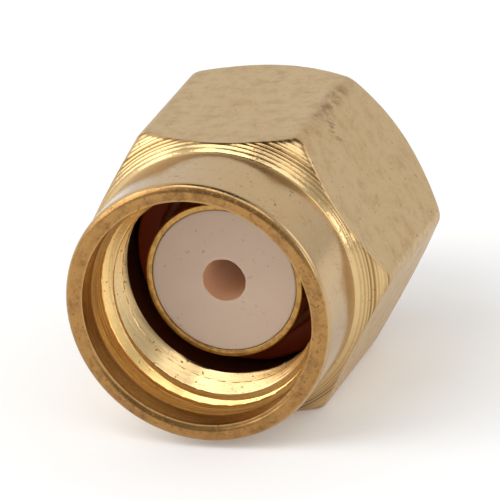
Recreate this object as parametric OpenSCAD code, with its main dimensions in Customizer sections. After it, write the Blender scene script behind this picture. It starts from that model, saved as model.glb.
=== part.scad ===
// SMA plug for semi-rigid cable: coupling nut, shell, insulator, gasket and retaining ring.
// The connector lies on one flat of its nut. Its axis runs along Y, with the mouth towards -Y.

/* [Overall] */
// Length from the rim of the nut to the end of the solder barrel
overall_length = 11.6; // [10.6:0.1:16]

/* [Coupling nut] */
// Width across the flats of the hexagon
across_flats = 8; // [7.9:0.1:10]
// Radius on the six long corners of the hexagon
corner_radius = 0.4; // [0.1:0.05:0.8]
// Length of the nut from the rim to the rear face
nut_length = 9; // [8.4:0.1:9.8]
// Outer diameter of the plain collar
collar_diameter = 7.56; // [7.3:0.02:7.8]
// Length of the collar up to the foot of the front cone
collar_length = 2.35; // [1.6:0.05:3.4]
// Radius on the outer edge of the rim
rim_radius = 0.2; // [0.05:0.05:0.3]
// Angle of the front cone, measured from the face of the nut
front_cone_angle = 45; // [25:1:55]
// Radius of the fillet at the foot of the front cone
foot_radius = 0.1; // [0.05:0.05:0.6]
// Angle of the rear chamfer, measured from the face of the nut
rear_cone_angle = 50; // [25:1:55]
// Diameter of the flat rear face where the chamfer ends
rear_face_diameter = 7.2; // [6.8:0.05:7.8]

/* [Mouth and thread] */
// Diameter of the smooth mouth ahead of the thread
mouth_diameter = 6.54; // [6.45:0.01:6.8]
// Depth of the smooth mouth
mouth_depth = 0.85; // [0.5:0.05:1.4]
// Chamfer on the inner edge of the rim
mouth_chamfer = 0.06; // [0.02:0.01:0.15]
// Angle of the lead-in to the thread, measured from the face of the nut
lead_in_angle = 65; // [20:1:75]
// Minor diameter of the 1/4-36 thread
thread_minor_diameter = 5.74; // [5.6:0.01:5.9]
// Depth from the rim to the last turn of the thread
thread_end_depth = 2.84; // [2.5:0.01:3.8]
// Angle of the step from the thread out to the relief, measured from the face of the nut
thread_exit_angle = 30; // [20:1:60]
// Diameter of the relief behind the thread
relief_diameter = 6.5; // [6.4:0.02:6.7]

/* [Ferrule and insulator] */
// Outer diameter of the ferrule
ferrule_diameter = 4.5; // [4.46:0.01:4.6]
// Depth from the rim of the nut to the face of the ferrule
ferrule_depth = 2.43; // [1.8:0.01:2.8]
// Chamfer on the outer edge of the ferrule
ferrule_chamfer = 0.05; // [0.02:0.01:0.1]
// Thickness of the ferrule's wall, which the insulator fills
ferrule_wall = 0.19; // [0.12:0.01:0.3]
// Length of the insulator
insulator_length = 4.95; // [4:0.05:5.4]
// How far the insulator sits back from the face of the ferrule
insulator_recess = 0.03; // [0:0.01:0.1]
// Diameter of the hole for the centre contact
contact_hole_diameter = 1.27; // [0.9:0.01:1.5]

/* [Gasket] */
// Outer diameter of the gasket
gasket_diameter = 6.2; // [6:0.02:6.24]
// Thickness of the gasket
gasket_thickness = 0.65; // [0.4:0.05:0.9]
// Distance from the face of the ferrule to the front of the gasket
gasket_setback = 1.77; // [1.6:0.01:1.95]
// Height of the land that centres the gasket, above the ferrule
gasket_land_height = 0.2; // [0.16:0.02:0.3]
// Radius on the edges of the gasket
gasket_edge_radius = 0.1; // [0.04:0.02:0.18]

/* [Flange and retaining ring] */
// Outer diameter of the flange that the nut turns on
flange_diameter = 6; // [5.9:0.02:6.1]
// Length of the flange that shows behind the nut
flange_show = 0.3; // [0.2:0.05:0.6]
// Radial clearance between the flange and the rear bore of the nut
bearing_clearance = 0.05; // [0.03:0.01:0.08]
// Depth from the rim of the nut to the middle of the retaining ring
ring_depth = 6.8; // [6.4:0.05:7.4]
// Thickness of the retaining ring along the axis
ring_thickness = 0.5; // [0.3:0.05:0.6]
// Radial width of the retaining ring
ring_width = 0.8; // [0.7:0.02:0.9]
// How far the ring stands into the nut beyond the rear bore
ring_bite = 0.4; // [0.25:0.01:0.45]
// Opening of the split in the retaining ring
ring_gap = 1.2; // [0.6:0.1:2.5]
// Radial clearance between the ring and the bottoms of its two grooves
groove_clearance = 0.1; // [0.05:0.01:0.12]
// Clearance on each face of the ring in the groove of the nut
ring_face_clearance = 0.03; // [0.02:0.01:0.05]
// Distance that the nut can float each way along the axis
float_travel = 0.1; // [0.05:0.01:0.12]

/* [Solder barrel] */
// Outer diameter of the solder barrel
barrel_diameter = 5; // [4.4:0.05:5.6]
// Diameter of the socket for the cable's outer conductor
cable_socket_diameter = 3.66; // [3.6:0.01:3.8]
// Thickness of the web between the insulator and the cable socket
web_thickness = 0.5; // [0.3:0.05:0.8]
// Diameter of the hole in the web, which passes the cable's dielectric
web_hole_diameter = 3.04; // [2.9:0.01:3.2]
// Chamfer on the outer edge at the end of the barrel
barrel_chamfer = 0.2; // [0.05:0.05:0.4]
// Chamfer at the mouth of the cable socket
socket_chamfer = 0.15; // [0.05:0.05:0.3]

/* [Hidden] */
$fn = 96;

arc_steps = 6;
cut_margin = 1;
turning_margin = 0.2;
float_slack = 0.02;
gasket_slack = 0.05;

gold = [0.80, 0.64, 0.38];
white = [0.90, 0.87, 0.83];
dark_red = [0.30, 0.04, 0.03];
bronze = [0.66, 0.50, 0.30];

collar_r = collar_diameter / 2;
flat_r = across_flats / 2;
corner_centre_r = (flat_r - corner_radius) / cos(30);
corner_r = corner_centre_r + corner_radius;
rear_face_r = rear_face_diameter / 2;
turned_r = corner_r + turning_margin;
front_cone_end = collar_length + (turned_r - collar_r) * tan(front_cone_angle);
foot_start = collar_length - foot_radius * tan((90 - front_cone_angle) / 2);
rear_cone_start = nut_length - (turned_r - rear_face_r) * tan(rear_cone_angle);

mouth_r = mouth_diameter / 2;
minor_r = thread_minor_diameter / 2;
relief_r = relief_diameter / 2;
lead_in_end = mouth_depth + (mouth_r - minor_r) * tan(lead_in_angle);

ferrule_r = ferrule_diameter / 2;
insulator_r = ferrule_r - ferrule_wall;
insulator_front = ferrule_depth + insulator_recess;
insulator_rear = insulator_front + insulator_length;

gasket_r = gasket_diameter / 2;
gasket_land_r = ferrule_r + gasket_land_height;
gasket_front = ferrule_depth + gasket_setback;
gasket_seat = gasket_front + gasket_thickness;

flange_r = flange_diameter / 2;
flange_end = nut_length + flange_show;
rear_bore_r = flange_r + bearing_clearance;
rear_bore_start = gasket_seat + float_travel + gasket_slack;

ring_outer_r = rear_bore_r + ring_bite;
ring_inner_r = ring_outer_r - ring_width;
nut_groove_r = ring_outer_r + groove_clearance;
shell_groove_r = ring_inner_r - groove_clearance;
nut_groove_width = ring_thickness + 2 * ring_face_clearance;
shell_groove_width = ring_thickness + 2 * (float_travel + float_slack);

barrel_r = barrel_diameter / 2;
socket_r = cable_socket_diameter / 2;
web_hole_r = web_hole_diameter / 2;
socket_start = insulator_rear + web_thickness;

// Points of an arc, as [radius, depth] pairs, from one angle to another
function arc(centre_r, centre_depth, radius, from, to) =
    [for (i = [0:arc_steps])
        let (a = from + (to - from) * i / arc_steps)
        [centre_r + radius * cos(a), centre_depth + radius * sin(a)]];

// Outline of the hexagon with its six corners rounded
function rounded_hexagon() =
    [for (side = [0:5], i = [0:arc_steps])
        let (a = side * 60 - 30 + 60 * i / arc_steps)
        [corner_centre_r * cos(side * 60) + corner_radius * cos(a),
         corner_centre_r * sin(side * 60) + corner_radius * sin(a)]];

// Lays a piece that is modelled upright, mouth at the bottom, down along +Y on a flat of the nut
module lay_down() {
    translate([0, -overall_length / 2, flat_r])
        rotate([-90, 0, 0])
            children();
}

// Ring-shaped groove or bore between two depths
module ring_cut(outer_r, from, to) {
    translate([0, 0, from])
        cylinder(r = outer_r, h = to - from);
}

module nut_turned_outside() {
    rotate_extrude()
        polygon(concat(
            [[0, 0]],
            arc(collar_r - rim_radius, rim_radius, rim_radius, -90, 0),
            arc(collar_r + foot_radius, foot_start, foot_radius, 180, 90 + front_cone_angle),
            [[turned_r, front_cone_end],
             [turned_r, rear_cone_start],
             [rear_face_r, nut_length],
             [0, nut_length]]));
}

module nut_bore() {
    rotate_extrude()
        polygon([
            [0, -cut_margin],
            [mouth_r + mouth_chamfer + cut_margin, -cut_margin],
            [mouth_r, mouth_chamfer],
            [mouth_r, mouth_depth],
            [minor_r, lead_in_end],
            [minor_r, thread_end_depth],
            [relief_r, thread_end_depth + (relief_r - minor_r) * tan(thread_exit_angle)],
            [relief_r, rear_bore_start],
            [rear_bore_r, rear_bore_start],
            [rear_bore_r, nut_length + cut_margin],
            [0, nut_length + cut_margin]]);
    ring_cut(nut_groove_r, ring_depth - nut_groove_width / 2, ring_depth + nut_groove_width / 2);
}

module coupling_nut() {
    color(gold)
        lay_down()
            difference() {
                intersection() {
                    linear_extrude(height = nut_length)
                        polygon(rounded_hexagon());
                    nut_turned_outside();
                }
                nut_bore();
            }
}

module shell_outside() {
    groove_front = ring_depth - shell_groove_width / 2;
    groove_rear = ring_depth + shell_groove_width / 2;
    rotate_extrude()
        polygon([
            [0, ferrule_depth],
            [ferrule_r - ferrule_chamfer, ferrule_depth],
            [ferrule_r, ferrule_depth + ferrule_chamfer],
            [ferrule_r, gasket_front],
            [gasket_land_r, gasket_front],
            [gasket_land_r, gasket_seat],
            [flange_r, gasket_seat],
            [flange_r, groove_front],
            [shell_groove_r, groove_front],
            [shell_groove_r, groove_rear],
            [flange_r, groove_rear],
            [flange_r, flange_end],
            [barrel_r, flange_end],
            [barrel_r, overall_length - barrel_chamfer],
            [barrel_r - barrel_chamfer, overall_length],
            [0, overall_length]]);
}

module shell_bore() {
    rotate_extrude()
        polygon([
            [0, ferrule_depth - cut_margin],
            [insulator_r, ferrule_depth - cut_margin],
            [insulator_r, insulator_rear],
            [web_hole_r, insulator_rear],
            [web_hole_r, socket_start],
            [socket_r, socket_start],
            [socket_r, overall_length - socket_chamfer],
            [socket_r + socket_chamfer + cut_margin, overall_length + cut_margin],
            [0, overall_length + cut_margin]]);
}

module connector_shell() {
    color(gold)
        lay_down()
            difference() {
                shell_outside();
                shell_bore();
            }
}

module insulator() {
    color(white)
        lay_down()
            rotate_extrude()
                polygon([
                    [contact_hole_diameter / 2, insulator_front],
                    [insulator_r, insulator_front],
                    [insulator_r, insulator_rear],
                    [contact_hole_diameter / 2, insulator_rear]]);
}

module gasket() {
    color(dark_red)
        lay_down()
            rotate_extrude()
                polygon(concat(
                    [[gasket_land_r, gasket_front]],
                    arc(gasket_r - gasket_edge_radius, gasket_front + gasket_edge_radius,
                        gasket_edge_radius, -90, 0),
                    arc(gasket_r - gasket_edge_radius, gasket_seat - gasket_edge_radius,
                        gasket_edge_radius, 0, 90),
                    [[gasket_land_r, gasket_seat]]));
}

module retaining_ring() {
    color(bronze)
        lay_down()
            difference() {
                ring_cut(ring_outer_r, ring_depth - ring_thickness / 2, ring_depth + ring_thickness / 2);
                ring_cut(ring_inner_r, ring_depth - ring_thickness, ring_depth + ring_thickness);
                translate([0, -ring_gap / 2, ring_depth - ring_thickness])
                    cube([ring_outer_r + cut_margin, ring_gap, 2 * ring_thickness]);
            }
}

coupling_nut();
connector_shell();
insulator();
gasket();
retaining_ring();
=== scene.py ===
import math

import bmesh
import bpy
import numpy as np
from mathutils import Matrix, Vector

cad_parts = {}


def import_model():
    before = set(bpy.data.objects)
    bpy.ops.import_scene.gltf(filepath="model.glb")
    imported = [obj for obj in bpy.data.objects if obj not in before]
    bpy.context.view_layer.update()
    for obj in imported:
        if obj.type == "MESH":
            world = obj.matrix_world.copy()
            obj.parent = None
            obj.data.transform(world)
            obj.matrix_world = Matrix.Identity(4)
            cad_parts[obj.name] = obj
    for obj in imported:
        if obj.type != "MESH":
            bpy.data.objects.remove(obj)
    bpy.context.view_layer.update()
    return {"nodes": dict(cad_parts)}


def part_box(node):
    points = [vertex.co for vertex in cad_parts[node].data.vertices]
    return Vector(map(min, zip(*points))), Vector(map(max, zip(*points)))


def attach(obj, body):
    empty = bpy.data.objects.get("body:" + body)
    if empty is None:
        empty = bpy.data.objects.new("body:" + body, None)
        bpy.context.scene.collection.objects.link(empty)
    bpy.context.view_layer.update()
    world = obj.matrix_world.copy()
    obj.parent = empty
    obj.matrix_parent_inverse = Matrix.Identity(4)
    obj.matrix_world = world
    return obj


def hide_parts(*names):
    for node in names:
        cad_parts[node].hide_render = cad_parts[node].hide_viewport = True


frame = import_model()

# Lengths of the connector and of the camera's place are in millimetres, which MM turns into the
# frame's metres. Those of the lamps and the floor are in metres.
# A point on a turned piece has a radius, a depth behind the rim of the nut and an angle.
MM = 0.001

nut_low, nut_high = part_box("coupling_nut")
shell_low, shell_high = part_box("connector_shell")
insulator_low, insulator_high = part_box("insulator")
gasket_low, gasket_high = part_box("gasket")
ring_low, ring_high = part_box("retaining_ring")

RIM_Y = nut_low.y
AXIS_Z = (nut_low.z + nut_high.z) / 2


def depth_of(y):
    return (y - RIM_Y) / MM


# Coupling nut
FLAT_R = (nut_high.z - nut_low.z) / 2 / MM
NUT_LENGTH = (nut_high.y - nut_low.y) / MM
CORNER_RADIUS = 0.4
COLLAR_R = 3.78
COLLAR_LENGTH = 2.35
RIM_RADIUS = 0.2
RIM_TILT = math.radians(32)
FRONT_CONE_ANGLE = math.radians(45)
FOOT_RADIUS = 0.1
REAR_CONE_ANGLE = math.radians(50)
REAR_FACE_R = 3.6
REAR_FACE_DISH = 0.03
EDGE_BREAK = 0.05
CORNER_EDGE_BREAK = 0.12

# Grooves that the turning tool left on the front cone
GROOVE_PITCH = 0.082
GROOVE_HEIGHT = 0.013
GROOVE_COUNT = 40

# Mouth, thread and rear bore
MOUTH_R = 3.27
MOUTH_DEPTH = 0.85
MOUTH_CHAMFER = 0.06
LEAD_IN_ANGLE = math.radians(65)
MINOR_R = 2.87
LEAD_IN_END = MOUTH_DEPTH + (MOUTH_R - MINOR_R) * math.tan(LEAD_IN_ANGLE)
MAJOR_R = 3.175
THREAD_PITCH = 25.4 / 36
THREAD_END = 2.84
THREAD_EXIT_ANGLE = math.radians(30)
CREST_ROUNDING = 0.05
CREST_TILT = math.radians(50)
FLANK_ANGLE = math.radians(30)
CREST_HALF = THREAD_PITCH * 7 / 16 - (MAJOR_R - MINOR_R) * math.tan(FLANK_ANGLE)
ROOT_HALF = THREAD_PITCH / 16
THREAD_START_ANGLE = math.radians(230)
RELIEF_R = 3.25
REAR_BORE_R = 3.05
GASKET_CLEARANCE = 0.15
REAR_BORE_START = depth_of(gasket_high.y) + GASKET_CLEARANCE
RING_GROOVE_R = 3.55
RING_GROOVE_WIDTH = 0.56
RING_DEPTH = depth_of((ring_low.y + ring_high.y) / 2)

# Columns of the meshes. Each of the nut's six sides has a flat and two halves of a rounded corner.
FLAT_COLUMNS = 64
HALF_CORNER_COLUMNS = 8
TURNED_COLUMNS = 240

SEED = 11
rng = np.random.default_rng(SEED)


def place(radius, depth, angle):
    """Points in the frame, in metres, from radii and depths in millimetres and angles from +X."""
    radius, depth, angle = np.broadcast_arrays(radius, depth, angle)
    return np.stack([
        radius * np.cos(angle) * MM,
        RIM_Y + depth * MM,
        AXIS_Z + radius * np.sin(angle) * MM,
    ], axis=-1)


def smooth_min(a, b, width):
    """The smaller of a and b, with the crease between them rounded over that width."""
    overlap = np.maximum(width - np.abs(a - b), 0) / width
    return np.minimum(a, b) - overlap * overlap * width / 4


def smooth_max(a, b, width):
    return -smooth_min(-a, -b, width)


def ramp(value, none, full):
    """A share that is 0 where the value is none, 1 where it is full and even in between."""
    return np.clip((value - none) / (full - none), 0, 1)


def spaced(start, end, count):
    """count values from start up to but not including end."""
    return np.linspace(start, end, count, endpoint=False)


# ---------------------------------------------------------------- meshes from rings

def joined_rings(sizes):
    """Faces between each ring and the next, and from the last back to the first. Neighbouring rings
    have the same number of points, or one has twice as many as the other."""
    starts = np.concatenate([[0], np.cumsum(sizes)])
    faces = []
    for k, size in enumerate(sizes):
        following = (k + 1) % len(sizes)
        a0, b0, other = starts[k], starts[following], sizes[following]
        if size == other:
            i = np.arange(size)
            j = (i + 1) % size
            faces += np.stack([a0 + i, a0 + j, b0 + j, b0 + i], axis=1).tolist()
        elif size == 2 * other:
            for i in range(other):
                j = (i + 1) % other
                a, m, c = a0 + 2 * i, a0 + 2 * i + 1, a0 + (2 * i + 2) % size
                faces += [[a, m, b0 + i], [m, c, b0 + j], [m, b0 + j, b0 + i]]
        else:
            for i in range(size):
                j = (i + 1) % size
                a, m, c = b0 + 2 * i, b0 + 2 * i + 1, b0 + (2 * i + 2) % other
                faces += [[a0 + i, m, a], [a0 + j, c, m], [a0 + i, a0 + j, m]]
    return faces


SHARP_ANGLE = math.radians(40)


def mesh_piece(name, rings, attributes):
    """An object from rings of points, with one value of each named attribute for every point."""
    mesh = bpy.data.meshes.new(name)
    mesh.from_pydata(np.concatenate(rings).tolist(), [], joined_rings([len(r) for r in rings]))
    for key, values in attributes.items():
        values = np.concatenate(values).astype(np.float32)
        kind = "FLOAT_VECTOR" if values.ndim == 2 else "FLOAT"
        field = "vector" if values.ndim == 2 else "value"
        mesh.attributes.new(key, kind, "POINT").data.foreach_set(field, values.ravel())
    shaped = bmesh.new()
    shaped.from_mesh(mesh)
    bmesh.ops.recalc_face_normals(shaped, faces=shaped.faces)
    shaped.to_mesh(mesh)
    shaped.free()
    mesh.shade_smooth()
    mesh.set_sharp_from_angle(angle=SHARP_ANGLE)
    piece = bpy.data.objects.new(name, mesh)
    bpy.context.scene.collection.objects.link(piece)
    return piece


def along(radii, depths):
    """Distance along a profile, in millimetres, at each of its points."""
    steps = np.hypot(np.diff(radii), np.diff(depths))
    return np.concatenate([[0], np.cumsum(steps)])


def turned_coordinates(distance, angle):
    """Coordinates for marks of turning: far apart along the profile, close together round the axis."""
    distance, angle = np.broadcast_arrays(distance, angle)
    return np.stack([distance, np.cos(angle), np.sin(angle)], axis=-1)


class Rings:
    """The rings of a mesh: their points, coordinates for marks of turning and shares of each of the
    named zones, from 0 to 1."""

    def __init__(self, zones):
        self.points = []
        self.turned = []
        self.zones = {zone: [] for zone in zones}

    def add(self, radius, depth, distance, angles, **shares):
        self.points.append(place(radius, depth, angles))
        self.turned.append(turned_coordinates(distance, angles))
        for zone, values in self.zones.items():
            values.append(np.broadcast_to(shares.get(zone, 0.0), len(angles)))

    def piece(self, name):
        return mesh_piece(name, self.points, {"turned": self.turned, **self.zones})


ROUNDING_STEPS = 4
# A rounding takes at most this share of either side of its corner
ROUNDING_SHARE = 0.4
LONGEST_SIDE = 0.25


def rounded(corners, radius):
    """A closed outline of [radius, depth] points with each corner rounded."""
    corners = [Vector(c) for c in corners]
    points = []
    for k, corner in enumerate(corners):
        before = corners[k - 1] - corner
        after = corners[(k + 1) % len(corners)] - corner
        reach = min(radius, before.length * ROUNDING_SHARE, after.length * ROUNDING_SHARE)
        start = corner + before.normalized() * reach
        end = corner + after.normalized() * reach
        for i in range(ROUNDING_STEPS + 1):
            t = i / ROUNDING_STEPS
            points.append((1 - t) ** 2 * start + 2 * t * (1 - t) * corner + t * t * end)
    return points


def subdivided(outline, longest):
    """A closed outline with points added so that no side is longer than that."""
    points = []
    for k, point in enumerate(outline):
        following = outline[(k + 1) % len(outline)]
        count = max(1, math.ceil((following - point).length / longest))
        points += [point.lerp(following, i / count) for i in range(count)]
    return points


def turned_piece(name, corners, edge_radius, longest=LONGEST_SIDE, shape=None, zones=None):
    """A piece turned from a closed outline of [radius, depth] corners. Each zone is a named function
    that gives a share from 0 to 1 for a radius and a depth."""
    zones = zones or {}
    outline = subdivided(rounded(corners, edge_radius), longest)
    radii = np.array([p[0] for p in outline])
    depths = np.array([p[1] for p in outline])
    angles = spaced(0, 2 * math.pi, TURNED_COLUMNS)
    rings = Rings(zones)
    for radius, depth, distance in zip(radii, depths, along(radii, depths)):
        shares = {zone: share(radius, depth) for zone, share in zones.items()}
        if shape:
            radius, depth = shape(radius, depth, angles)
        rings.add(radius, depth, distance, angles, **shares)
    return rings.piece(name)


# ---------------------------------------------------------------- the nut

HALF_SIDE_ANGLE = math.radians(30)
CORNER_CENTRE_R = (FLAT_R - CORNER_RADIUS) / math.cos(HALF_SIDE_ANGLE)
CORNER_R = CORNER_CENTRE_R + CORNER_RADIUS
FLAT_HALF_ANGLE = math.atan2((FLAT_R - CORNER_RADIUS) * math.tan(HALF_SIDE_ANGLE), FLAT_R)


def nut_angles():
    """Angles of the nut's columns, the first at a corner of the hexagon."""
    side = np.concatenate([
        spaced(-HALF_SIDE_ANGLE, -FLAT_HALF_ANGLE, HALF_CORNER_COLUMNS),
        spaced(-FLAT_HALF_ANGLE, FLAT_HALF_ANGLE, FLAT_COLUMNS),
        spaced(FLAT_HALF_ANGLE, HALF_SIDE_ANGLE, HALF_CORNER_COLUMNS),
    ])
    return np.concatenate([side + math.radians(30 + 60 * k) for k in range(6)])


def hexagon_r(angle):
    """Radius of the hexagon with rounded corners."""
    from_flat = np.mod(angle, 2 * HALF_SIDE_ANGLE) - HALF_SIDE_ANGLE
    from_corner = HALF_SIDE_ANGLE - np.abs(from_flat)
    inside = np.maximum(CORNER_RADIUS ** 2 - (CORNER_CENTRE_R * np.sin(from_corner)) ** 2, 0)
    on_corner = CORNER_CENTRE_R * np.cos(from_corner) + np.sqrt(inside)
    return np.where(np.abs(from_flat) < FLAT_HALF_ANGLE, FLAT_R / np.cos(from_flat), on_corner)


FOOT_START = COLLAR_LENGTH - FOOT_RADIUS * math.tan((math.pi / 2 - FRONT_CONE_ANGLE) / 2)
FOOT_END = FOOT_START + FOOT_RADIUS * math.sin(math.pi / 2 - FRONT_CONE_ANGLE)


def grooves(depth):
    """Height of the turned grooves on the front cone: each has its own depth and pitch."""
    own = np.random.default_rng(SEED)
    edges = FOOT_END + np.cumsum(GROOVE_PITCH * own.uniform(0.75, 1.25, GROOVE_COUNT))
    heights = GROOVE_HEIGHT * own.uniform(0.45, 1.30, GROOVE_COUNT)
    index = np.clip(np.searchsorted(edges, depth), 1, GROOVE_COUNT - 1)
    t = (depth - edges[index - 1]) / (edges[index] - edges[index - 1])
    wave = -heights[index] * np.sin(np.clip(t, 0, 1) * math.pi) ** 0.8
    return np.where(depth > FOOT_END, wave, 0)


def rim_profile():
    """Radii and depths over the slightly crowned face of the rim and round its outer edge."""
    inner_r = MOUTH_R + MOUTH_CHAMFER
    edge_r = COLLAR_R - RIM_RADIUS * (1 - math.sin(RIM_TILT))
    half = (edge_r - inner_r) / 2
    crown = half * math.tan(RIM_TILT) / 2
    face_r = spaced(inner_r, edge_r, 10)
    face_depth = crown * ((face_r - inner_r) / half - 1) ** 2
    turn = spaced(RIM_TILT, math.pi / 2, 8)
    edge_depth = crown + RIM_RADIUS * (math.cos(RIM_TILT) - np.cos(turn))
    return (np.append(face_r, COLLAR_R - RIM_RADIUS * (1 - np.sin(turn))),
            np.append(face_depth, edge_depth))


def collar_and_cone_r(depth):
    """Radius of the collar, the foot of the front cone and the cone."""
    foot = COLLAR_R + FOOT_RADIUS - np.sqrt(
        np.maximum(FOOT_RADIUS ** 2 - np.maximum(depth - FOOT_START, 0) ** 2, 0))
    cone = COLLAR_R + (depth - COLLAR_LENGTH) / math.tan(FRONT_CONE_ANGLE) + grooves(depth)
    return np.where(depth < FOOT_END, foot, cone)


# Close rows go on this far past the corners of the hexagon, and past the middle of its flats
PAST_CORNER = 0.1
PAST_FLAT = 0.08


def outside_profile():
    """Turned radii and depths of the nut's outside, from the rim's inner edge to the rear face."""
    cone_end = COLLAR_LENGTH + (CORNER_R - COLLAR_R) * math.tan(FRONT_CONE_ANGLE) + PAST_CORNER
    rear_start = NUT_LENGTH - (CORNER_R - REAR_FACE_R) * math.tan(REAR_CONE_ANGLE) - PAST_CORNER
    flat_end = NUT_LENGTH - (FLAT_R - REAR_FACE_R) * math.tan(REAR_CONE_ANGLE) + PAST_FLAT
    rim_r, rim_depths = rim_profile()
    depths = np.concatenate([
        spaced(RIM_RADIUS + rim_depths[0], FOOT_START, 8),
        spaced(FOOT_START, FOOT_END, 9),
        spaced(FOOT_END, cone_end, 68),
        spaced(cone_end, rear_start, 8),
        spaced(rear_start, flat_end, 14),
        np.linspace(flat_end, NUT_LENGTH, 4),
    ])
    rear = REAR_FACE_R + (NUT_LENGTH - depths) / math.tan(REAR_CONE_ANGLE)
    radii = np.minimum(collar_and_cone_r(depths), rear)
    return np.append(rim_r, radii), np.append(rim_depths, depths)


def threaded(plain_r, depth, angle):
    """A bore of that radius with the right-hand thread cut into it: 60 degree flanks, flat roots and
    crests that lean towards the mouth."""
    turn = depth + THREAD_PITCH * (angle - THREAD_START_ANGLE) / (2 * math.pi)
    from_root = np.mod(turn, THREAD_PITCH) - THREAD_PITCH / 2
    flank = MAJOR_R - (np.abs(from_root) - ROOT_HALF) / math.tan(FLANK_ANGLE)
    past_crest = from_root - THREAD_PITCH / 2 * np.sign(from_root)
    leaning = MINOR_R + math.tan(CREST_TILT) * np.clip(CREST_HALF - past_crest, 0, 2 * CREST_HALF)
    crest = np.maximum(plain_r, np.minimum(leaning, MAJOR_R))
    return smooth_max(crest, np.minimum(flank, MAJOR_R), CREST_ROUNDING)


def inside_profile():
    """Plain radii and depths of the nut's inside, from the rear face back to the rim."""
    thread_exit = THREAD_END + (RELIEF_R - MINOR_R) * math.tan(THREAD_EXIT_ANGLE)
    groove_front = RING_DEPTH - RING_GROOVE_WIDTH / 2
    groove_rear = RING_DEPTH + RING_GROOVE_WIDTH / 2
    # Radius and depth at the start, radius and depth at the end, and the number of rows
    legs = [
        (REAR_BORE_R, NUT_LENGTH - REAR_FACE_DISH, REAR_BORE_R, groove_rear, 3),
        (REAR_BORE_R, groove_rear, RING_GROOVE_R, groove_rear, 2),
        (RING_GROOVE_R, groove_rear, RING_GROOVE_R, groove_front, 2),
        (RING_GROOVE_R, groove_front, REAR_BORE_R, groove_front, 2),
        (REAR_BORE_R, groove_front, REAR_BORE_R, REAR_BORE_START, 3),
        (REAR_BORE_R, REAR_BORE_START, RELIEF_R, REAR_BORE_START, 1),
        (RELIEF_R, REAR_BORE_START, RELIEF_R, thread_exit, 5),
        (RELIEF_R, thread_exit, MINOR_R, THREAD_END, 5),
        (MINOR_R, THREAD_END, MINOR_R, LEAD_IN_END, 72),
        (MINOR_R, LEAD_IN_END, MOUTH_R, MOUTH_DEPTH, 52),
        (MOUTH_R, MOUTH_DEPTH, MOUTH_R, MOUTH_CHAMFER, 5),
    ]
    radii = np.concatenate([spaced(r0, r1, n) for r0, _, r1, _, n in legs])
    depths = np.concatenate([spaced(d0, d1, n) for _, d0, _, d1, n in legs])
    return np.append(radii, MOUTH_R), np.append(depths, MOUTH_CHAMFER)


NUT_ZONES = ("edge", "satin", "cone", "valley", "rim", "mouth", "thread", "inside", "deep")

# Where one zone of the nut's plating gives way to the next
SATIN_BLEND = 0.05
MOUTH_BLEND = 0.1
LEAD_IN_BLEND = 0.3
DEEP_BLEND = 0.15
CONE_ZONE_START = FOOT_END - 0.05
RIM_ZONE_FULL = 0.3 * RIM_RADIUS
RIM_ZONE_END = 0.55 * RIM_RADIUS
CHAMFER_ZONE_FULL = 0.5 * MOUTH_CHAMFER
CHAMFER_ZONE_END = 1.5 * MOUTH_CHAMFER

# Wear shows this many edge breaks from a crease, and from this share of the way to a corner's top
CREASE_WEAR = 1.3
CORNER_WEAR = 0.6875


def add_outside(rings, angles):
    """The nut's outside: a hexagon cut by the turned rim, collar, cones and rear face."""
    hexagon = hexagon_r(angles)
    corner = (hexagon - FLAT_R) / (CORNER_R - FLAT_R)
    edge_break = EDGE_BREAK + (CORNER_EDGE_BREAK - EDGE_BREAK) * corner
    radii, depths = outside_profile()
    distances = along(np.minimum(radii, CORNER_R), depths)
    for turned_r, depth, distance in zip(radii, depths, distances):
        crease = ramp(np.abs(hexagon - turned_r), CREASE_WEAR * edge_break, 0)
        on_hexagon = ramp(turned_r - hexagon, 0, SATIN_BLEND)
        rings.add(
            smooth_min(hexagon, turned_r, edge_break), depth, distance, angles,
            edge=np.maximum(crease, on_hexagon * ramp(corner, CORNER_WEAR, 1)),
            satin=on_hexagon,
            cone=(1 - on_hexagon) * (CONE_ZONE_START < depth < NUT_LENGTH / 2),
            valley=(1 - on_hexagon) * ramp(-grooves(depth), 0, GROOVE_HEIGHT) ** 2,
            rim=ramp(depth, RIM_ZONE_END, RIM_ZONE_FULL))


def add_inside(rings, angles):
    """The nut's inside: the rear bore, the ring's groove, the relief, the thread and the mouth."""
    radii, depths = inside_profile()
    for radius, depth, distance in zip(radii, depths, along(radii, depths)):
        if MOUTH_DEPTH < depth <= THREAD_END:
            radius = threaded(radius, depth, angles)
        near_rim = ramp(depth, CHAMFER_ZONE_END, CHAMFER_ZONE_FULL)
        rings.add(
            radius, depth, distance, angles,
            rim=near_rim,
            inside=1 - near_rim,
            mouth=ramp(depth, MOUTH_DEPTH, MOUTH_DEPTH - MOUTH_BLEND),
            thread=ramp(depth, LEAD_IN_END - LEAD_IN_BLEND, LEAD_IN_END),
            deep=ramp(depth, THREAD_END, THREAD_END + DEEP_BLEND))


def coupling_nut():
    angles = nut_angles()
    rings = Rings(NUT_ZONES)
    add_outside(rings, angles)
    add_inside(rings, angles[::2])
    nut = rings.piece("coupling_nut_turned")
    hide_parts("coupling_nut")
    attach(nut, "nut")
    return nut


# ---------------------------------------------------------------- shell, insulator and seals

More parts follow.
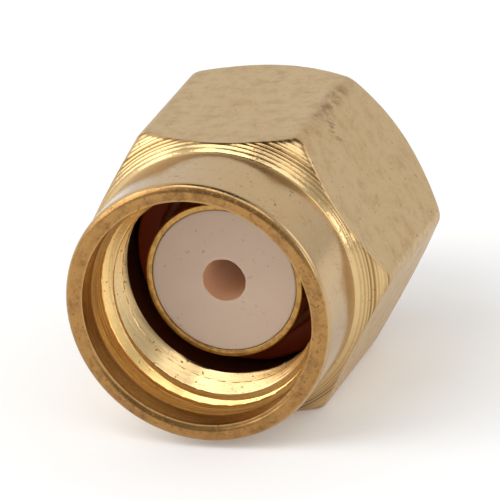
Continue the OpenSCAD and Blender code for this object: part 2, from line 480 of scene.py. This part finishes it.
FERRULE_R = 2.25
FERRULE_DEPTH = depth_of(shell_low.y)
FERRULE_WALL = 0.19
INSULATOR_R = FERRULE_R - FERRULE_WALL
INSULATOR_FRONT = depth_of(insulator_low.y)
INSULATOR_REAR = depth_of(insulator_high.y)
HOLE_R = 0.635
GASKET_FRONT = depth_of(gasket_low.y)
GASKET_SEAT = depth_of(gasket_high.y)
GASKET_R = (gasket_high.x - gasket_low.x) / 2 / MM
GASKET_LAND_HEIGHT = 0.2
LAND_R = FERRULE_R + GASKET_LAND_HEIGHT
GASKET_EDGE_RADIUS = 0.12
FLANGE_R = 3.0
FLANGE_SHOW = 0.3
FLANGE_END = NUT_LENGTH + FLANGE_SHOW
SHELL_GROOVE_R = 2.55
SHELL_GROOVE_WIDTH = 0.74
SHELL_EDGE_RADIUS = 0.05
BARREL_R = 2.5
BARREL_END = depth_of(shell_high.y)
BARREL_CHAMFER = 0.2
WEB_THICKNESS = 0.5
WEB_HOLE_R = 1.52
SOCKET_R = 1.83
SOCKET_START = INSULATOR_REAR + WEB_THICKNESS
SOCKET_CHAMFER = 0.15

# The ferrule's outer side takes on painted shade and a painted reflection of the red gasket between
# these two depths behind its front
TRENCH_START = 0.04
TRENCH_FULL = 0.14
SURFACE_MARGIN = 0.01

INSULATOR_EDGE_RADIUS = 0.04
INSULATOR_LONGEST_SIDE = 0.06
HOLE_BLEND = 0.03

# The burr at the insulator's hole: how far it reaches in and out, and how wide and deep it is
BURR_IN = 0.085
BURR_OUT = 0.02
BURR_WIDTH = 0.07
BURR_DEPTH = 0.12


def shell_outline():
    front, rear = RING_DEPTH - SHELL_GROOVE_WIDTH / 2, RING_DEPTH + SHELL_GROOVE_WIDTH / 2
    return [
        (INSULATOR_R, FERRULE_DEPTH),
        (FERRULE_R, FERRULE_DEPTH),
        (FERRULE_R, GASKET_FRONT),
        (LAND_R, GASKET_FRONT),
        (LAND_R, GASKET_SEAT),
        (FLANGE_R, GASKET_SEAT),
        (FLANGE_R, front),
        (SHELL_GROOVE_R, front),
        (SHELL_GROOVE_R, rear),
        (FLANGE_R, rear),
        (FLANGE_R, FLANGE_END),
        (BARREL_R, FLANGE_END),
        (BARREL_R, BARREL_END - BARREL_CHAMFER),
        (BARREL_R - BARREL_CHAMFER, BARREL_END),
        (SOCKET_R + SOCKET_CHAMFER, BARREL_END),
        (SOCKET_R, BARREL_END - SOCKET_CHAMFER),
        (SOCKET_R, SOCKET_START),
        (WEB_HOLE_R, SOCKET_START),
        (WEB_HOLE_R, INSULATOR_REAR),
        (INSULATOR_R, INSULATOR_REAR),
    ]


def in_trench(radius, depth):
    """The outer side of the ferrule, down to the gasket's seat."""
    if radius < FERRULE_R - SURFACE_MARGIN or depth > GASKET_SEAT + SURFACE_MARGIN:
        return 0.0
    return ramp(depth, FERRULE_DEPTH + TRENCH_START, FERRULE_DEPTH + TRENCH_FULL)


def on_ferrule(radius, depth):
    return float(depth < GASKET_SEAT)


def connector_shell():
    shell = turned_piece("connector_shell_turned", shell_outline(), SHELL_EDGE_RADIUS,
                         zones={"trench": in_trench, "ferrule": on_ferrule})
    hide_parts("connector_shell")
    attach(shell, "connector_body")
    return shell


def in_hole(radius, depth):
    return ramp(radius, HOLE_R + HOLE_BLEND, HOLE_R)


def insulator():
    lumps = [(k, 0.4 + rng.random(), rng.random() * 2 * math.pi) for k in range(2, 15)]

    def burr(radius, depth, angles):
        """The edge of the hole is uneven, and a thin burr stands a little out of the face."""
        rough = sum(a * np.sin(k * angles + phase) / k ** 0.6 for k, a, phase in lumps) / len(lumps)
        near_hole = np.exp(-((radius - HOLE_R) / BURR_WIDTH) ** 2)
        near_face = np.exp(-((depth - INSULATOR_FRONT) / BURR_DEPTH) ** 2)
        return (radius - BURR_IN * near_hole * near_face * (0.3 + rough),
                depth + BURR_OUT * near_hole * near_face * (rough - 0.2))

    white = turned_piece("insulator_turned", [
        (HOLE_R, INSULATOR_FRONT),
        (INSULATOR_R, INSULATOR_FRONT),
        (INSULATOR_R, INSULATOR_REAR),
        (HOLE_R, INSULATOR_REAR),
    ], INSULATOR_EDGE_RADIUS, longest=INSULATOR_LONGEST_SIDE, shape=burr, zones={"hole": in_hole})
    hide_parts("insulator")
    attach(white, "connector_body")
    return white


def gasket():
    seal = turned_piece("gasket_moulded", [
        (LAND_R, GASKET_FRONT),
        (GASKET_R, GASKET_FRONT),
        (GASKET_R, GASKET_SEAT),
        (LAND_R, GASKET_SEAT),
    ], GASKET_EDGE_RADIUS)
    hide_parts("gasket")
    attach(seal, "connector_body")
    return seal


# ---------------------------------------------------------------- materials

class Graph:
    """The nodes of a material or of the world, added by short calls."""

    def __init__(self, owner, shader="Principled BSDF"):
        owner.use_nodes = True
        self.owner = owner
        self.nodes = owner.node_tree.nodes
        self.links = owner.node_tree.links
        self.shader = self.nodes[shader]

    def put(self, socket, value):
        if isinstance(value, bpy.types.NodeSocket):
            self.links.new(value, socket)
        else:
            socket.default_value = value

    def attribute(self, name, output="Fac"):
        node = self.nodes.new("ShaderNodeAttribute")
        node.attribute_name = name
        return node.outputs[output]

    def position(self):
        """The piece's own coordinates, in millimetres."""
        node = self.nodes.new("ShaderNodeTexCoord")
        return self.scaled(node.outputs["Object"], (1000, 1000, 1000))

    def scaled(self, vector, factors):
        node = self.nodes.new("ShaderNodeVectorMath")
        node.operation = "MULTIPLY"
        self.put(node.inputs[0], vector)
        node.inputs[1].default_value = factors
        return node.outputs[0]

    def turned(self, vector, degrees, axis="Y"):
        node = self.nodes.new("ShaderNodeVectorRotate")
        node.rotation_type = axis + "_AXIS"
        self.put(node.inputs["Vector"], vector)
        node.inputs["Angle"].default_value = math.radians(degrees)
        return node.outputs[0]

    def noise(self, vector, scale=1.0, detail=3.0, roughness=0.55):
        node = self.nodes.new("ShaderNodeTexNoise")
        self.put(node.inputs["Vector"], vector)
        node.inputs["Scale"].default_value = scale
        node.inputs["Detail"].default_value = detail
        node.inputs["Roughness"].default_value = roughness
        return node.outputs["Fac"]

    def near(self, vector, centre, reach):
        """1 at the centre, falling to 0 at that reach along each axis."""
        node = self.nodes.new("ShaderNodeVectorMath")
        node.operation = "DISTANCE"
        shrunk = tuple(1 / r for r in reach)
        self.put(node.inputs[0], self.scaled(vector, shrunk))
        node.inputs[1].default_value = tuple(c * f for c, f in zip(centre, shrunk))
        return self.over(node.outputs["Value"], 1.0, 0.0)

    def facing(self, direction, towards):
        """Cosine of the angle between two directions."""
        node = self.nodes.new("ShaderNodeVectorMath")
        node.operation = "DOT_PRODUCT"
        self.put(node.inputs[0], direction)
        node.inputs[1].default_value = towards
        return node.outputs["Value"]

    def times(self, a, b):
        return self.math("MULTIPLY", a, b)

    def plus(self, a, b, clamp=False):
        return self.math("ADD", a, b, clamp)

    def larger(self, a, b):
        return self.math("MAXIMUM", a, b)

    def math(self, operation, a, b, clamp=False):
        node = self.nodes.new("ShaderNodeMath")
        node.operation = operation
        node.use_clamp = clamp
        self.put(node.inputs[0], a)
        self.put(node.inputs[1], b)
        return node.outputs[0]

    def over(self, value, low, high):
        """0 where value is below low, 1 where it is above high."""
        node = self.nodes.new("ShaderNodeMapRange")
        node.interpolation_type = "SMOOTHSTEP"
        self.put(node.inputs["Value"], value)
        node.inputs["From Min"].default_value = low
        node.inputs["From Max"].default_value = high
        return node.outputs["Result"]

    def between(self, value, a, b):
        node = self.nodes.new("ShaderNodeMapRange")
        self.put(node.inputs["Value"], value)
        node.inputs["To Min"].default_value = a
        node.inputs["To Max"].default_value = b
        return node.outputs["Result"]

    def mixed(self, share, a, b):
        """The colour a where the share is 0 and b where it is 1."""
        node = self.nodes.new("ShaderNodeMix")
        node.data_type = "RGBA"
        color_a, color_b = [socket for socket in node.inputs if socket.type == "RGBA"]
        self.put(node.inputs["Factor"], share)
        self.put(color_a, a)
        self.put(color_b, b)
        return next(socket for socket in node.outputs if socket.type == "RGBA")

    def bump(self, height, micrometres, normal=None):
        node = self.nodes.new("ShaderNodeBump")
        node.inputs["Distance"].default_value = micrometres * 1e-6
        self.put(node.inputs["Height"], height)
        if normal is not None:
            self.put(node.inputs["Normal"], normal)
        return node.outputs["Normal"]

    def finish(self, color, roughness, normal):
        self.put(self.shader.inputs["Base Color"], color)
        self.put(self.shader.inputs["Roughness"], roughness)
        self.put(self.shader.inputs["Normal"], normal)
        return self.owner


def material(name):
    return Graph(bpy.data.materials.new(name))


def rgb(red, green, blue):
    return (red, green, blue, 1.0)


GOLD = rgb(0.60, 0.42, 0.205)
PALE_GOLD = rgb(0.62, 0.455, 0.255)
TURNED_GOLD = rgb(0.54, 0.37, 0.185)
CONE_GOLD = rgb(0.68, 0.48, 0.235)
# Painted shade for the bottoms of the cone's turned grooves
VALLEY_PAINTED_SHADE = rgb(0.30, 0.17, 0.06)
THREAD_GOLD = rgb(0.68, 0.50, 0.26)
INSIDE_GOLD = rgb(0.92, 0.63, 0.25)
INSIDE_BROWN = rgb(0.68, 0.41, 0.13)
# Painted shade and painted reflection of the red gasket, behind the thread
DEEP_PAINTED_SHADE = rgb(0.20, 0.065, 0.018)
# The rim's darker gold is partly its own tarnish and partly a painted reflection of the darker
# surroundings in front
RIM_GOLD_WITH_PAINTED_REFLECTION = rgb(0.41, 0.22, 0.074)
# Painted reflection of the dark interior on the mouth's wall
MOUTH_PAINTED_REFLECTION = rgb(0.46, 0.23, 0.055)
RIM_BROWN = rgb(0.22, 0.115, 0.04)
FERRULE_GOLD = rgb(0.46, 0.26, 0.075)
BROWN_GOLD = rgb(0.40, 0.24, 0.10)
DULL_GOLD = rgb(0.30, 0.165, 0.055)
# Painted shade and painted reflection of the red gasket, on the ferrule's outer side
TRENCH_PAINTED_SHADE_AND_REFLECTION = rgb(0.34, 0.11, 0.035)
SMUDGE = rgb(0.20, 0.10, 0.045)

# The PTFE's tones carry a painted warm tint of light reflected from the gold around them
PTFE_WHITE_WITH_PAINTED_BOUNCE = rgb(0.74, 0.60, 0.495)
PTFE_DARKER_WITH_PAINTED_BOUNCE = rgb(0.69, 0.545, 0.44)
# Painted orange of light reflected from the gold into the hole
PTFE_HOLE_PAINTED_REFLECTION = rgb(0.95, 0.66, 0.46)
PTFE_MARK = rgb(0.25, 0.13, 0.07)
SILICONE_RED = rgb(0.48, 0.07, 0.012)
SILICONE_DARK = rgb(0.36, 0.045, 0.009)
BRONZE = rgb(0.50, 0.32, 0.16)
BRONZE_BROWN = rgb(0.40, 0.24, 0.11)
FLOOR_WHITE = rgb(0.95, 0.95, 0.95)
FLOOR_SHADE = rgb(0.93, 0.93, 0.93)

# The ferrule's outer side and the nut's bore behind the thread are painted dark red-brown as shade and
# as a reflection of the red gasket, and little of what they reflect is metallic
PAINTED_SHADE_METALLIC = 0.25


def on_nut(radius, depth, degrees):
    """A place on the nut, in the millimetres of Graph.position()."""
    return tuple(place(radius, depth, math.radians(degrees)) / MM)


def scratches(g, spot, degrees, scale):
    """Thin straight scratches that run one way."""
    turned = g.turned(g.turned(spot, degrees), degrees * 0.7, axis="X")
    lines = g.noise(g.scaled(turned, (scale, 0.35, scale)), detail=1.0)
    patches = g.noise(spot, scale=0.8, detail=1.0)
    return g.times(g.over(lines, 0.68, 0.74), g.over(patches, 0.48, 0.62))


def strokes(g, spot, flat_angle, degrees):
    """Straight strokes at that angle across the flat whose normal points to flat_angle."""
    across = g.turned(g.turned(spot, flat_angle), degrees, axis="X")
    return g.over(g.noise(g.scaled(across, (0.4, 1.5, 13.0)), detail=0), 0.58, 0.66)


# Marks on the nut: where each lies and how far it reaches along each axis, in millimetres
NICKED_FLAT = 30
NICKS_ANGLE = 53
NICKS_R = FLAT_R / math.cos(math.radians(NICKS_ANGLE - NICKED_FLAT))
STAIN = {"centre": on_nut(CORNER_R, 6.0, 60), "reach": (0.42, 2.2, 0.42)}
NICKS = {"centre": on_nut(NICKS_R, 5.1, NICKS_ANGLE), "reach": (0.55, 0.42, 0.55)}
COLLAR_SMUDGE = {"centre": on_nut(COLLAR_R, 1.25, 38), "reach": (0.5, 0.4, 0.5)}


def nut_stains(g, spot):
    """A brown stain along one long edge, a few dark scratches beside it and a grey smudge on the
    collar."""
    patchy = g.noise(spot, scale=2.6, detail=6, roughness=0.75)
    stain = g.times(g.near(spot, **STAIN), g.over(patchy, 0.40, 0.62))
    nicks = g.larger(strokes(g, spot, NICKED_FLAT, 40), strokes(g, spot, NICKED_FLAT, -65))
    smudged = g.over(g.noise(spot, scale=6.0, detail=5), 0.4, 0.7)
    smudge = g.times(g.near(spot, **COLLAR_SMUDGE), smudged)
    marks = g.plus(g.times(stain, 0.75), g.times(g.times(g.near(spot, **NICKS), 0.9), nicks))
    return g.plus(marks, g.times(smudge, 0.45), clamp=True)


def nut_colors(g, zone, clouds, mottle, streaks):
    """The colour in each zone of the nut, without its pits and stains: the plating's own, with painted
    shade and painted reflection in some zones.
    """
    flats = g.mixed(clouds, PALE_GOLD, GOLD)
    # The bottoms of the cone's grooves are painted brown as shade.
    cone = g.mixed(zone["valley"], CONE_GOLD, VALLEY_PAINTED_SHADE)
    bore = g.mixed(g.over(streaks, 0.48, 0.62), INSIDE_GOLD, INSIDE_BROWN)
    color = g.mixed(zone["satin"], TURNED_GOLD, flats)
    color = g.mixed(zone["cone"], color, cone)
    color = g.mixed(g.times(mottle, g.between(zone["satin"], 0.12, 0.48)), color, BROWN_GOLD)
    color = g.mixed(zone["inside"], color, bore)
    color = g.mixed(g.times(zone["thread"], 0.85), color, THREAD_GOLD)
    # The mouth's wall is painted browner as a reflection of the dark interior it faces.
    color = g.mixed(g.times(zone["mouth"], 0.4), color, MOUTH_PAINTED_REFLECTION)
    # Behind the thread the bore is painted dark reddish brown as shade and as a reflection of the red
    # gasket.
    color = g.mixed(zone["deep"], color, DEEP_PAINTED_SHADE)
    color = g.mixed(g.times(zone["edge"], g.between(mottle, 0.1, 0.5)), color, BROWN_GOLD)
    # The rim is painted a darker, browner gold, partly tarnish and partly a painted reflection of the
    # darker surroundings in front; its mottle toward brown is dirt.
    return g.mixed(zone["rim"], color, g.mixed(mottle, RIM_GOLD_WITH_PAINTED_REFLECTION, RIM_BROWN))


def nut_roughness(g, zone, clouds, mottle):
    """Smooth where it is turned, and duller on the satin flats."""
    roughness = g.between(clouds, 0.12, 0.17)
    roughness = g.plus(roughness, g.times(zone["satin"], 0.25))
    roughness = g.plus(roughness, g.times(g.larger(zone["rim"], zone["inside"]), 0.07))
    return g.plus(roughness, g.times(mottle, 0.06))


def nut_relief(g, spot, turned, zone, streaks, hollows):
    """Turned lines, the grain of the flats, low waves, chatter on the cone, scratches and pits."""
    lined = g.plus(g.between(zone["inside"], 0.1, 1.0), g.times(zone["cone"], 0.5))
    grain = g.times(g.noise(spot, scale=24.0, detail=3), g.between(zone["satin"], 0.25, 1.0))
    waves = g.noise(spot, scale=2.6, detail=4)
    chatter = g.times(g.noise(g.scaled(turned, (14, 26, 26)), detail=1), zone["cone"])
    marks = g.plus(scratches(g, spot, 37, 16), scratches(g, spot, 112, 20))
    normal = g.bump(g.times(streaks, lined), 3.8)
    normal = g.bump(grain, 2.4, normal)
    normal = g.bump(waves, 3.5, normal)
    normal = g.bump(chatter, 3.0, normal)
    return g.bump(g.times(g.plus(marks, hollows), -1.0), 3.0, normal)


def gold_nut():
    g = material("gold_nut_plating")
    spot = g.position()
    turned = g.attribute("turned", "Vector")
    zone = {name: g.attribute(name) for name in NUT_ZONES}
    clouds = g.noise(spot, scale=0.45, detail=4)
    mottle = g.over(g.noise(spot, scale=2.0, detail=7, roughness=0.72), 0.42, 0.72)
    streaks = g.noise(g.scaled(turned, (20, 0.8, 0.8)), detail=3, roughness=0.65)
    pits = g.over(g.noise(spot, scale=9.0, detail=2), 0.67, 0.73)
    specks = g.over(g.noise(spot, scale=8.5, detail=4, roughness=0.7), 0.58, 0.66)
    rim_specks = g.times(zone["rim"], specks)

    color = nut_colors(g, zone, clouds, mottle, streaks)
    color = g.mixed(g.times(g.larger(pits, rim_specks), 0.8), color, SMUDGE)
    color = g.mixed(nut_stains(g, spot), color, SMUDGE)
    roughness = nut_roughness(g, zone, clouds, mottle)
    relief = nut_relief(g, spot, turned, zone, streaks, g.plus(pits, rim_specks))
    g.put(g.shader.inputs["Metallic"], g.between(zone["deep"], 1.0, PAINTED_SHADE_METALLIC))
    return g.finish(color, roughness, relief)


def gold_shell():
    g = material("gold_shell_plating")
    trench = g.attribute("trench")
    g.put(g.shader.inputs["Metallic"], g.between(trench, 1.0, PAINTED_SHADE_METALLIC))
    spot = g.position()
    clouds = g.noise(spot, scale=0.8, detail=4)
    lines = g.noise(g.scaled(g.attribute("turned", "Vector"), (30, 1.5, 1.5)), detail=3)
    pits = g.over(g.noise(spot, scale=9.0, detail=2), 0.68, 0.76)
    mottle = g.over(g.noise(spot, scale=4.5, detail=4, roughness=0.7), 0.42, 0.62)
    ferrule = g.mixed(mottle, FERRULE_GOLD, DULL_GOLD)
    color = g.mixed(g.attribute("ferrule"), g.mixed(clouds, PALE_GOLD, TURNED_GOLD), ferrule)
    # The ferrule's outer side is painted dark red-brown as shade and as a reflection of the red
    # gasket.
    color = g.mixed(trench, color, TRENCH_PAINTED_SHADE_AND_REFLECTION)
    color = g.mixed(g.times(pits, 0.5), color, SMUDGE)
    normal = g.bump(lines, 2.0)
    normal = g.bump(g.noise(spot, scale=5.0, detail=3), 2.0, normal)
    return g.finish(color, g.between(clouds, 0.18, 0.28), normal)


def ptfe():
    g = material("ptfe_white")
    g.shader.inputs["Subsurface Weight"].default_value = 0.35
    g.shader.inputs["Subsurface Radius"].default_value = (1.0, 0.8, 0.65)
    g.shader.inputs["Subsurface Scale"].default_value = 0.0004
    g.shader.inputs["IOR"].default_value = 1.35
    spot = g.position()
    clouds = g.noise(spot, scale=1.1, detail=4)
    specks = g.over(g.noise(spot, scale=5.5, detail=4, roughness=0.6), 0.70, 0.73)
    fibres = scratches(g, spot, 55, 9)
    # Two cloudy tones of white, both with a painted warm tint of light reflected from the gold.
    color = g.mixed(clouds, PTFE_WHITE_WITH_PAINTED_BOUNCE, PTFE_DARKER_WITH_PAINTED_BOUNCE)
    # The hole's wall is painted orange as light reflected from the gold.
    color = g.mixed(g.attribute("hole"), color, PTFE_HOLE_PAINTED_REFLECTION)
    marks = g.larger(specks, g.times(fibres, 0.7))
    color = g.mixed(g.times(marks, 0.6), color, PTFE_MARK)
    lines = g.noise(g.scaled(g.attribute("turned", "Vector"), (18, 2, 2)), detail=2)
    normal = g.bump(lines, 4.0)
    normal = g.bump(g.noise(spot, scale=9.0, detail=3), 6.0, normal)
    return g.finish(color, g.between(clouds, 0.42, 0.55), normal)


def silicone():
    g = material("dark_red_silicone")
    g.shader.inputs["Specular IOR Level"].default_value = 0.2
    spot = g.position()
    clouds = g.noise(spot, scale=1.5, detail=3)
    color = g.mixed(clouds, SILICONE_RED, SILICONE_DARK)
    normal = g.bump(g.noise(spot, scale=12.0, detail=3), 5.0)
    return g.finish(color, g.between(clouds, 0.38, 0.5), normal)


def bronze():
    g = material("spring_bronze")
    g.shader.inputs["Metallic"].default_value = 1.0
    spot = g.position()
    clouds = g.noise(spot, scale=1.5, detail=4)
    color = g.mixed(clouds, BRONZE, BRONZE_BROWN)
    normal = g.bump(g.noise(spot, scale=14.0, detail=3), 3.0)
    return g.finish(color, g.between(clouds, 0.32, 0.48), normal)


def dress(piece, surface):
    piece.data.materials.clear()
    piece.data.materials.append(surface)


# ---------------------------------------------------------------- camera and studio

CAMERA_AZIMUTH = 19.99
CAMERA_ELEVATION = 21.72
CAMERA_ROLL = math.radians(-5.02)
CAMERA_DISTANCE = 216.4
LENS = 576.7
SENSOR_WIDTH = 36
RIM_LEFT_OF_MIDDLE = 1.469
RIM_BELOW_MIDDLE = 1.755


def towards(azimuth, elevation):
    """The direction to a place round the connector. Azimuth 0 is ahead of the mouth, 90 is +X."""
    azimuth, elevation = math.radians(azimuth), math.radians(elevation)
    return Vector((math.sin(azimuth) * math.cos(elevation),
                   -math.cos(azimuth) * math.cos(elevation),
                   math.sin(elevation)))


def camera():
    back = towards(CAMERA_AZIMUTH, CAMERA_ELEVATION)
    level = (-back).cross(Vector((0, 0, 1))).normalized()
    upright = level.cross(-back)
    right = math.cos(CAMERA_ROLL) * level + math.sin(CAMERA_ROLL) * upright
    up = -math.sin(CAMERA_ROLL) * level + math.cos(CAMERA_ROLL) * upright
    rim_centre = Vector((0, RIM_Y, AXIS_Z))
    middle = rim_centre + (RIM_LEFT_OF_MIDDLE * right + RIM_BELOW_MIDDLE * up) * MM
    data = bpy.data.cameras.new("camera")
    data.lens = LENS
    data.sensor_width = SENSOR_WIDTH
    data.clip_start = 0.01
    data.clip_end = 20
    seen_from = bpy.data.objects.new("camera", data)
    axes = Matrix((right, up, back)).transposed().to_4x4()
    seen_from.matrix_world = Matrix.Translation(middle + back * CAMERA_DISTANCE * MM) @ axes
    bpy.context.scene.collection.objects.link(seen_from)
    bpy.context.scene.camera = seen_from


SKY_STRENGTH = 0.60

# Soft patches of the sky: azimuth, elevation, radius of the even middle and outer radius, all in
# degrees, and the change that the patch makes to the sky's strength
SKY_PATCHES = [
    (270, 20, 15, 50, 0.45),
    (108, 20, 10, 38, 0.38),
    (0, 5, 12, 38, -0.30),
    (195, 20, 25, 60, 0.30),
    (0, 90, 14, 32, -0.50),
]


def world():
    g = Graph(bpy.data.worlds.new("studio"), shader="Background")
    direction = g.nodes.new("ShaderNodeTexCoord").outputs["Generated"]
    strength = SKY_STRENGTH
    for azimuth, elevation, inner, outer, change in SKY_PATCHES:
        facing = g.facing(direction, towards(azimuth, elevation))
        patch = g.over(facing, math.cos(math.radians(outer)), math.cos(math.radians(inner)))
        strength = g.plus(g.times(patch, change), strength)
    g.put(g.shader.inputs["Color"], rgb(1, 1, 1))
    g.put(g.shader.inputs["Strength"], strength)
    bpy.context.scene.world = g.owner


LAMP_DISTANCE = 0.25

# Lamps: azimuth and elevation in degrees, width and height in metres, and radiance
SOFTBOXES = {
    "front_high": (335, 60, (0.15, 0.10), 2.3),
    "front_middle": (33, 50, (0.12, 0.10), 1.3),
    "left_side": (302, 27, (0.18, 0.17), 2.1),
    "right_front": (64, 13, (0.06, 0.09), 1.8),
    "right_back": (112, 26, (0.12, 0.12), 0.7),
}


def softbox(name, azimuth, elevation, size, radiance):
    """A rectangular lamp that points at the connector. At a radiance of 1 it is white."""
    data = bpy.data.lights.new(name, "AREA")
    data.shape = "RECTANGLE"
    data.size, data.size_y = size
    data.energy = radiance * math.pi * size[0] * size[1]
    lamp = bpy.data.objects.new(name, data)
    direction = towards(azimuth, elevation)
    lamp.location = Vector((0, 0, AXIS_Z)) + direction * LAMP_DISTANCE
    lamp.rotation_euler = direction.to_track_quat("Z", "Y").to_euler()
    bpy.context.scene.collection.objects.link(lamp)


def seen_directly(g):
    """1 for rays that come from the camera or off something glossy or clear."""
    path = g.nodes.new("ShaderNodeLightPath")
    seen = path.outputs["Is Camera Ray"]
    for name in ("Is Glossy Ray", "Is Transmission Ray"):
        seen = g.larger(seen, path.outputs[name])
    return seen


FLOOR_HALF_SIZE = 2.0
FLOOR_GLOW = 0.14


def floor():
    mesh = bpy.data.meshes.new("floor")
    shape = bmesh.new()
    bmesh.ops.create_grid(shape, x_segments=1, y_segments=1, size=FLOOR_HALF_SIZE)
    shape.to_mesh(mesh)
    shape.free()
    plane = bpy.data.objects.new("floor", mesh)
    bpy.context.scene.collection.objects.link(plane)
    g = material("floor_white")
    grain = g.noise(g.position(), scale=0.02, detail=2)
    g.put(g.shader.inputs["Base Color"], g.mixed(grain, FLOOR_SHADE, FLOOR_WHITE))
    g.shader.inputs["Roughness"].default_value = 0.9
    g.shader.inputs["Specular IOR Level"].default_value = 0.0
    g.shader.inputs["Emission Color"].default_value = rgb(1, 1, 1)
    g.put(g.shader.inputs["Emission Strength"], g.times(seen_directly(g), FLOOR_GLOW))
    dress(plane, g.owner)


def studio():
    world()
    floor()
    for name, lamp in SOFTBOXES.items():
        softbox(name, *lamp)


# ---------------------------------------------------------------- the whole

camera()
studio()

dress(coupling_nut(), gold_nut())
dress(connector_shell(), gold_shell())
dress(insulator(), ptfe())
dress(gasket(), silicone())
dress(frame["nodes"]["retaining_ring"], bronze())

bpy.context.scene.view_settings.view_transform = "Standard"
